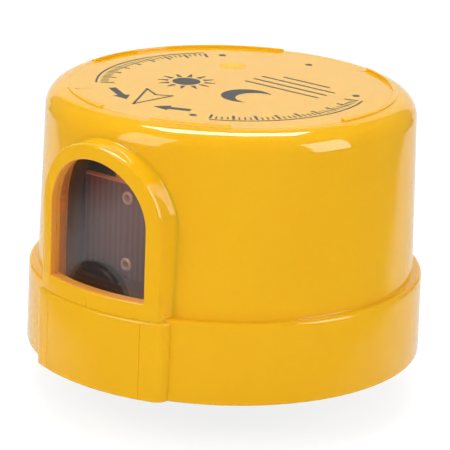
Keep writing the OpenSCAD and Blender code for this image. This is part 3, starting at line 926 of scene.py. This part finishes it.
def cover():
    """The yellow moulding in one piece."""
    material = finish(yellow_plastic)
    shell = turned("cover", cover_section(), material)
    pocket = prism("pocket", arch(POCKET_HALF, POCKET_FOOT), 0, OUTSIDE_Y)
    for cutter in (pocket, *scoop_cutters(material)):
        shell = combined(shell, cutter, "DIFFERENCE")
    panel = skirt_panel()
    for cutter in creases():
        panel = combined(panel, cutter, "DIFFERENCE")
    ribs, lugs = inner_ribs(material)
    for part in (panel, window_frame(), low_rim(material), *grip_ridges(material), ribs, lugs):
        shell = combined(shell, part, "UNION")
    shell = combined(shell, gate_cutter(material), "DIFFERENCE")
    smooth(face_outwards(shell, WELD), 30)
    crisp_field(shell)
    mark_painted_glow(shell)
    return hand_over(shell, "yellow_plastic", material, "housing")


def crisp_field(shell):
    """Keeps the flat label field free of the shading of what stands round it."""
    level, low = 0.99999, (FIELD_Z - 0.1) * MM
    with worked(shell.data) as work:
        for edge in work.edges:
            flat = [face.normal.z > level for face in edge.link_faces]
            if any(flat) and not all(flat) and edge.verts[0].co.z > low:
                edge.smooth = False


def mark_painted_glow(shell):
    """Marks the faces that get the painted orange colour and painted glow: the inside of the cover and the
    window's reveal.
    """
    slack = 0.1
    mark = shell.data.attributes.new(PAINTED_GLOW, "FLOAT", "FACE")
    for face, place in zip(shell.data.polygons, mark.data):
        x, y, z = face.center / MM
        out = face.normal.dot(Vector((x, y, 0)).normalized())
        in_arch = math.hypot(x, max(z - SPRING_Z, 0)) < POCKET_HALF + slack and z > POCKET_FOOT - slack
        reveal = in_arch and y < 0 and math.hypot(x, y) > FRAME_BACK_R
        lining = out < -0.2 and z < FIELD_Z - 1
        ceiling = face.normal.z < -0.5 and z > SPRING_Z
        place.value = float(lining or ceiling or (reveal and out < 0.5))


def window_pane():
    """The smoked pane: a curved sheet cut to the arch."""
    material = finish(smoked_pane)
    inner, spare = PANE_R - PANE_T, 2
    low, high = PANE_FOOT - spare, SPRING_Z + PANE_HALF + spare
    section = [(inner, low), (PANE_R, low), (PANE_R, high), (inner, high), (inner, low)]
    sheet = turned("window_lens", section, material)
    outline = prism("outline", arch(PANE_HALF, PANE_FOOT), -20, OUTSIDE_Y)
    sheet = combined(sheet, outline, "INTERSECT")
    smooth(face_outwards(sheet, WELD), 30)
    return hand_over(sheet, "smoked_pane", material, "window_pane")


def gasket():
    """The foam ring, with softly rounded edges."""
    material = finish(gasket_foam)
    soft = 0.5
    section = arc((GASKET_R - soft, soft), soft, -90, 0, 4)
    section += arc((GASKET_R - soft, GASKET_T - soft), soft, 0, 90, 4)
    section += arc((GASKET_BORE_R + soft, GASKET_T - soft), soft, 90, 180, 4)
    section += arc((GASKET_BORE_R + soft, soft), soft, 180, 270, 4)
    ring = smooth(turned("foam_ring", section + section[:1], material, 160), 40)
    hand_over(ring, "gasket_foam", material, "gasket")


def surge_disc():
    """The dipped disc, fuller in the middle."""
    material = finish(black_epoxy)
    low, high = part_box("varistor")
    radius, half_t = (high.x - low.x) / 2 / MM, (high.y - low.y) / 2 / MM
    edge, flank = 1.25, half_t - 0.12
    section = [(0, half_t), (radius * 0.5, half_t - 0.03)]
    for degrees in range(0, 91, 15):
        angle = math.radians(degrees)
        section.append((radius - edge + edge * math.sin(angle), flank - edge + edge * math.cos(angle)))
    section += [(r, -z) for r, z in reversed(section)]
    disc = facing_window(turned("dipped_disc", section, material, 96), (low + high) / 2)
    return hand_over(smooth(disc, 40), "black_epoxy", material, "varistor")


def eyelets():
    """Rolled eyelets through the cell."""
    material = finish(eyelet_metal)
    low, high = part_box("cell_eyelets")
    x = (low.x + high.x) / 2
    front, back = low.y / MM, high.y / MM
    roll, roll_r, barrel, out = 0.3, 0.95, 1.0, 1.4
    section = arc((roll_r, front + roll), roll, 180, 300, 6) + [(out, front + roll * 0.75)]
    section += [(out, front + roll), (barrel, front + roll), (barrel, back - roll), (out, back - roll)]
    section += [(out, back - roll * 0.75)] + arc((roll_r, back - roll), roll, 60, 180, 6)
    section = [(r, -y) for r, y in section]
    ring = turned("eyelet", section + section[:1], material, 40)
    pair = None
    for level in (low.z + out * MM, high.z - out * MM):
        one = facing_window(new_object("eyelet_one", ring.data.copy()), (x, 0, level))
        pair = combined(pair, one, "UNION") if pair else one
    bpy.data.objects.remove(ring)
    pair.name = "rolled_eyelets"
    return hand_over(smooth(pair, 40), "tinned_metal", material, "cell_eyelets")


def set_rivets():
    """Domed rivets at the blades, repeated round the axis."""
    material = finish(tinned_metal)
    low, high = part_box("blade_rivets")
    top, foot = high.z / MM, low.z / MM
    head_r, head_h, shank_r, flare_r, flare_h = 2.8, 0.9, 1.6, 2.2, 0.6
    section = [(0, top), (1.1, top - 0.04), (2.1, top - 0.2), (2.6, top - 0.45)]
    section += [(head_r, top - head_h + 0.12)]
    section += [(head_r - 0.1, top - head_h), (shank_r, top - head_h), (shank_r, foot + flare_h)]
    section += [(flare_r, foot + flare_h), (flare_r, foot + 0.2), (flare_r - 0.3, foot)]
    section += [(0.9, foot), (0.7, foot + 0.35), (0, foot + 0.4)]
    rivet = moved_out(turned("domed_rivets", section, material, 40), RIVET_AT, FIRST_BLADE)
    rivets = smooth(repeated(rivet, BLADES, 0, material), 40)
    return hand_over(rivets, "tinned_metal", material, "blade_rivets")


def softened(node, name, width, slot, make):
    """A copy of a node with its edges broken, in a finish."""
    copy = new_object(name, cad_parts[node].data.copy())
    level = math.radians(0.6)
    with worked(copy.data) as work:
        bmesh.ops.remove_doubles(work, verts=work.verts, dist=WELD)
        bmesh.ops.dissolve_limit(work, angle_limit=level, verts=work.verts, edges=work.edges)
    rounded(copy, width, 40, 2)
    return hand_over(copy, slot, finish(make), node)


def redress(node, make):
    """A better finish on a node whose shape is right."""
    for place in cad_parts[node].material_slots:
        place.material = finish(make)


# Printed signs on the label field


def stroke(points, width, closed=False):
    """Outline quads of a line of an even width through points in the plane."""
    quads = []
    count = len(points)
    for k in range(count if closed else count - 1):
        a, b = Vector(points[k]), Vector(points[(k + 1) % count])
        side = (b - a).normalized().orthogonal() * (width / 2)
        reach = (b - a).normalized() * (width / 2) * (0.98 if closed else 0)
        quads.append([a - side - reach, b - side + reach, b + side + reach, a + side - reach])
    return quads


def ring_line(radius, first, last, width, steps):
    """A band along an arc between two turns."""
    turns = [first + (last - first) * k / steps for k in range(steps + 1)]
    inner = [polar(radius - width / 2, turn) for turn in turns]
    outer = [polar(radius + width / 2, turn) for turn in turns]
    return [inner + outer[::-1]]


def arrow(tail, tip, head, width):
    """A straight arrow from one place to another."""
    a, b = Vector(tail), Vector(tip)
    way = (b - a).normalized()
    side = way.orthogonal()
    neck = b - way * head
    return [[a - side * width / 2, neck - side * width / 2, neck - side * head * 0.55, b,
             neck + side * head * 0.55, neck + side * width / 2, a + side * width / 2]]


def dot(place, radius, steps=24):
    return [arc(place, radius, 0, 360 - 360 / steps, steps - 1)]


def sun(place):
    """A sun: a disc and rays."""
    shapes = dot(place, 2.9, 48)
    for k in range(12):
        angle = math.radians(30 * k)
        way = Vector((math.cos(angle), math.sin(angle)))
        side = way.orthogonal() * 0.5
        foot, tip = Vector(place) + way * 3.8, Vector(place) + way * 6.0
        shapes.append([foot - side, tip - side * 0.3, tip + side * 0.3, foot + side])
    return shapes


def moon(place, radius=5.2, bite=4.3):
    """A crescent that opens towards +X: an arc and the arc of the disc that bites into it."""
    shift = 2.6
    meet = (radius ** 2 - bite ** 2 + shift ** 2) / (2 * shift)
    outer_end = math.degrees(math.acos(meet / radius))
    inner_end = math.degrees(math.acos((meet - shift) / bite))
    outer = arc(place, radius, outer_end, 360 - outer_end, 48)
    inner = arc((place[0] + shift, place[1]), bite, 360 - inner_end, inner_end, 40)
    return [outer + inner[1:-1]]


def printed_signs():
    """Twist arrows, a dart, dots, two scales of ticks, plain lines, a sun and a moon, as a film of ink."""
    material = finish(sign_ink)
    arrow_head, arrow_line = 3.2, 1.5
    shapes = arrow(polar(25.0, -38), polar(25.4, -17), arrow_head, arrow_line)
    shapes += arrow(polar(22.6, 18), polar(24.6, 0), arrow_head, arrow_line)
    dart = [polar(26.3, -9), polar(18.1, -33.5), polar(18.3, -18), polar(15.9, -10)]
    shapes += stroke(dart, 0.45, True)
    tick_out, band_r, scale_start, other_shift = 27.0, 27.9, 30, 18
    for k in range(33):
        inner, width = (24.2, 0.5) if k % 4 == 0 else (25.4, 0.3)
        along = scale_start + 2.5 * k
        for turn in (along, -along - other_shift):
            shapes += stroke([polar(inner, turn), polar(tick_out, turn)], width)
    shapes += ring_line(band_r, scale_start, 110, 0.4, 60) + ring_line(band_r, -128, -48, 0.4, 60)
    shapes += sun((-8.5, -4.5)) + moon((7.5, -4.5))
    lines_x = 9.0
    for level, half in ((5.0, 9.5), (7.8, 9.5), (10.6, 9.5), (13.4, 6.0)):
        shapes += stroke([(lines_x - half, level), (lines_x + half, level)], 0.55)
    for turn in (22, 118, -136, 180):
        shapes += dot(polar(25.8, turn), 0.75)
    film, sunk = 0.03, 0.02
    mesh = bpy.data.meshes.new("printed_signs")
    with worked(mesh) as work:
        for shape in shapes:
            loop = [work.verts.new((p[0] * MM, p[1] * MM, (FIELD_Z - sunk) * MM)) for p in shape]
            work.faces.new(loop)
        raised = bmesh.ops.extrude_face_region(work, geom=work.faces[:])
        tops = [v for v in raised["geom"] if isinstance(v, bmesh.types.BMVert)]
        bmesh.ops.translate(work, verts=tops, vec=(0, 0, (sunk + film) * MM))
        bmesh.ops.recalc_face_normals(work, faces=work.faces)
    return hand_over(new_object("printed_signs", mesh), "black_epoxy", material)


# Stage


def softbox(name, turn, rise, distance, width, height, light, shine):
    """A rectangular lamp aimed at the cover, with one strength for its light and one for its reflection."""
    x, y = polar(math.cos(math.radians(rise)), turn)
    way = Vector((x, y, math.sin(math.radians(rise))))
    for purpose, strength in (("light", light), ("shine", shine)):
        data = bpy.data.lights.new(name + "_" + purpose, "AREA")
        data.shape = "RECTANGLE"
        data.size, data.size_y = width, height
        data.energy = strength * math.pi * width * height
        lamp = new_object(data.name, data)
        lamp.location = Vector((0, 0, LAMP_AIM_Z)) + way * (distance + LAMP_GAP * (purpose == "light"))
        lamp.rotation_euler = way.to_track_quat("Z", "Y").to_euler()
        lamp.visible_camera = False
        lamp.visible_glossy = purpose == "shine"
        lamp.visible_diffuse = purpose == "light"


def square(half, level):
    """Corners of a level square round the axis."""
    return [(-half, -half, level), (half, -half, level), (half, half, level), (-half, half, level)]


def unlit_room():
    """The dim room round a white sweep: only reflections show it."""
    mesh = bpy.data.meshes.new("unlit_room")
    with worked(mesh) as work:
        for turn in range(0, 360, ROOM_STEP):
            end = turn + ROOM_STEP
            for low, high in zip(ROOM_RISES, ROOM_RISES[1:]):
                corners = []
                for around, rise in ((turn, low), (end, low), (end, high), (turn, high)):
                    x, y = polar(ROOM_R * math.cos(math.radians(rise)), around)
                    corners.append(work.verts.new((x, y, ROOM_R * math.sin(math.radians(rise)))))
                work.faces.new(corners)
        work.faces.new([work.verts.new(corner) for corner in square(ROOM_R, (TIP_Z + 0.2) * MM)])
    room = new_object("unlit_room", mesh)
    f = Finish("room_grey", Roughness=0.9)
    dim = f.mix(f.noise(600), colour(0.17, 0.17, 0.17), colour(0.21, 0.21, 0.21))
    tone = f.mix(white_sweep(f), dim, colour(0.86, 0.86, 0.86))
    f.surface(f.node("ShaderNodeEmission", {}, {"Color": tone}))
    mesh.materials.append(f.material)
    for kind in ("camera", "diffuse", "transmission", "volume_scatter", "shadow"):
        setattr(room, "visible_" + kind, False)


def white_sweep(f):
    """1 where the sweep is white: the floor and the backdrop behind the object, with soft borders."""
    turn = math.radians(CAMERA_TURN)
    x, y, z = (f.axis(name) for name in "XYZ")
    across = (x * math.cos(turn) + y * math.sin(turn)).size()
    away = y * math.cos(turn) - x * math.sin(turn)
    front = across.maths("MAXIMUM", SWEEP_FLARE * (across - SWEEP_FLARE_AT), SWEEP_FRONT)
    limit = across.maths("MAXIMUM", SWEEP_SPREAD * away, SWEEP_HALF)
    floor_part = f.clear_step(away - front, -SWEEP_FRONT_BLUR, SWEEP_FRONT_BLUR)
    floor_part = floor_part * f.clear_step(limit - across, -SWEEP_SIDE_BLUR, SWEEP_SIDE_BLUR)
    aside = across.maths("ARCTAN2", across, away) * math.degrees(1)
    rise = across.maths("ARCTAN2", z, (x * x + y * y).power(0.5)) * math.degrees(1)
    wall_part = f.clear_step(aside, *BACKDROP_SIDES) * f.clear_step(rise, *BACKDROP_TOP)
    on_floor = f.clear_step(z, 0.0, -5.0)
    return on_floor * floor_part + (1 - on_floor) * wall_part


def seen_directly(bench):
    """1 for camera, glossy and transmission rays, 0 for the rays that light the object."""
    path = bench.node("ShaderNodeLightPath", output="Is Camera Ray")
    either = path.maths("MAXIMUM", path, path.out("Is Glossy Ray"))
    return path.maths("MAXIMUM", either, path.out("Is Transmission Ray"))


def studio():
    """White surroundings, dimmer as light than as seen, and the lamps."""
    world = bpy.data.worlds.new("studio")
    bpy.context.scene.world = world
    world.use_nodes = True
    bench = Bench(world.node_tree)
    backing = world.node_tree.nodes["Background"]
    backing.inputs["Color"].default_value = colour(1, 1, 1)
    bench.put(backing.inputs["Strength"], WORLD_FILL + (1 - WORLD_FILL) * seen_directly(bench))
    for name, settings in LAMPS.items():
        softbox(name, *settings)


def floor():
    """A pale floor under the blade tips that stays white where no shadow falls."""
    mesh = bpy.data.meshes.new("floor")
    mesh.from_pydata(square(FLOOR_HALF, TIP_Z * MM), [], [(0, 1, 2, 3)])
    sheet = new_object("floor", mesh)
    f = Finish("pale_floor", Roughness=0.9)
    pale = f.mix(f.noise(40), colour(0.80, 0.80, 0.80), colour(0.82, 0.82, 0.82))
    f.feed(Base_Color=f.mix(seen_directly(f), pale, colour(0.26, 0.26, 0.26)))
    glow = f.node("ShaderNodeEmission", {}, {"Color": colour(1, 1, 1), "Strength": 0.8 * seen_directly(f)})
    f.surface(f.node("ShaderNodeAddShader", {}, {0: f.principled(), 1: glow}))
    mesh.materials.append(f.material)


def camera():
    """The photograph's camera, turned, raised, panned, tilted and rolled as it was fitted."""
    rise, pan, tilt, roll = (math.radians(a) for a in (CAMERA_RISE, CAMERA_PAN, CAMERA_TILT, CAMERA_ROLL))
    turn = Matrix.Rotation(math.radians(CAMERA_TURN), 3, "Z")
    place = turn @ Vector((0, -math.cos(rise), math.sin(rise))) * CAMERA_DISTANCE + Vector((0, 0, RIM_Z))
    ahead = turn @ Vector((math.sin(pan) * math.cos(tilt), math.cos(pan) * math.cos(tilt), -math.sin(tilt)))
    level = ahead.cross(Vector((0, 0, 1))).normalized()
    upright = level.cross(ahead)
    right = level * math.cos(roll) + upright * math.sin(roll)
    up = upright * math.cos(roll) - level * math.sin(roll)
    data = bpy.data.cameras.new("camera")
    data.sensor_width = SENSOR
    data.lens = FOCAL_PIXELS * SENSOR / PICTURE_PIXELS
    data.clip_start, data.clip_end = 0.01, 20
    eye = new_object("camera", data)
    facing = Matrix((right, up, -ahead)).transposed().to_4x4()
    eye.matrix_world = Matrix.Translation(place * MM) @ facing
    bpy.context.scene.camera = eye


bpy.context.scene.view_settings.view_transform = "Standard"
camera()
studio()
unlit_room()
floor()

cover()
window_pane()
printed_signs()
gasket()
surge_disc()
eyelets()
set_rivets()
softened("base_plate", "moulded_base", 0.3, "black_phenolic", black_phenolic)
softened("cell_holder", "moulded_holder", 0.22, "black_phenolic", black_plastic)
softened("photocell", "sensor_plate", 0.15, "cell_ceramic", cell_ceramic)
for blade in ("blade_neutral", "blade_line", "blade_load"):
    softened(blade, "formed_" + blade, 0.18, "brass", brass)
for sheet in ("neutral_tag", "load_post", "line_bracket"):
    softened(sheet, "formed_" + sheet, 0.12, "brass", brass)
softened("bimetal_strip", "rolled_strip", 0.1, "bimetal", bimetal)
softened("heater", "fired_heater", 0.3, "heater_ceramic", heater_ceramic)
for pin in ("strip_rivet", "moving_contact", "fixed_contact"):
    softened(pin, "headed_" + pin, 0.1, "tinned_metal", tinned_metal)
for lead in ("varistor_leads", "heater_leads"):
    redress(lead, tinned_metal)
for lead in ("cell_lead_upper", "cell_lead_lower"):
    redress(lead, wire_cover)
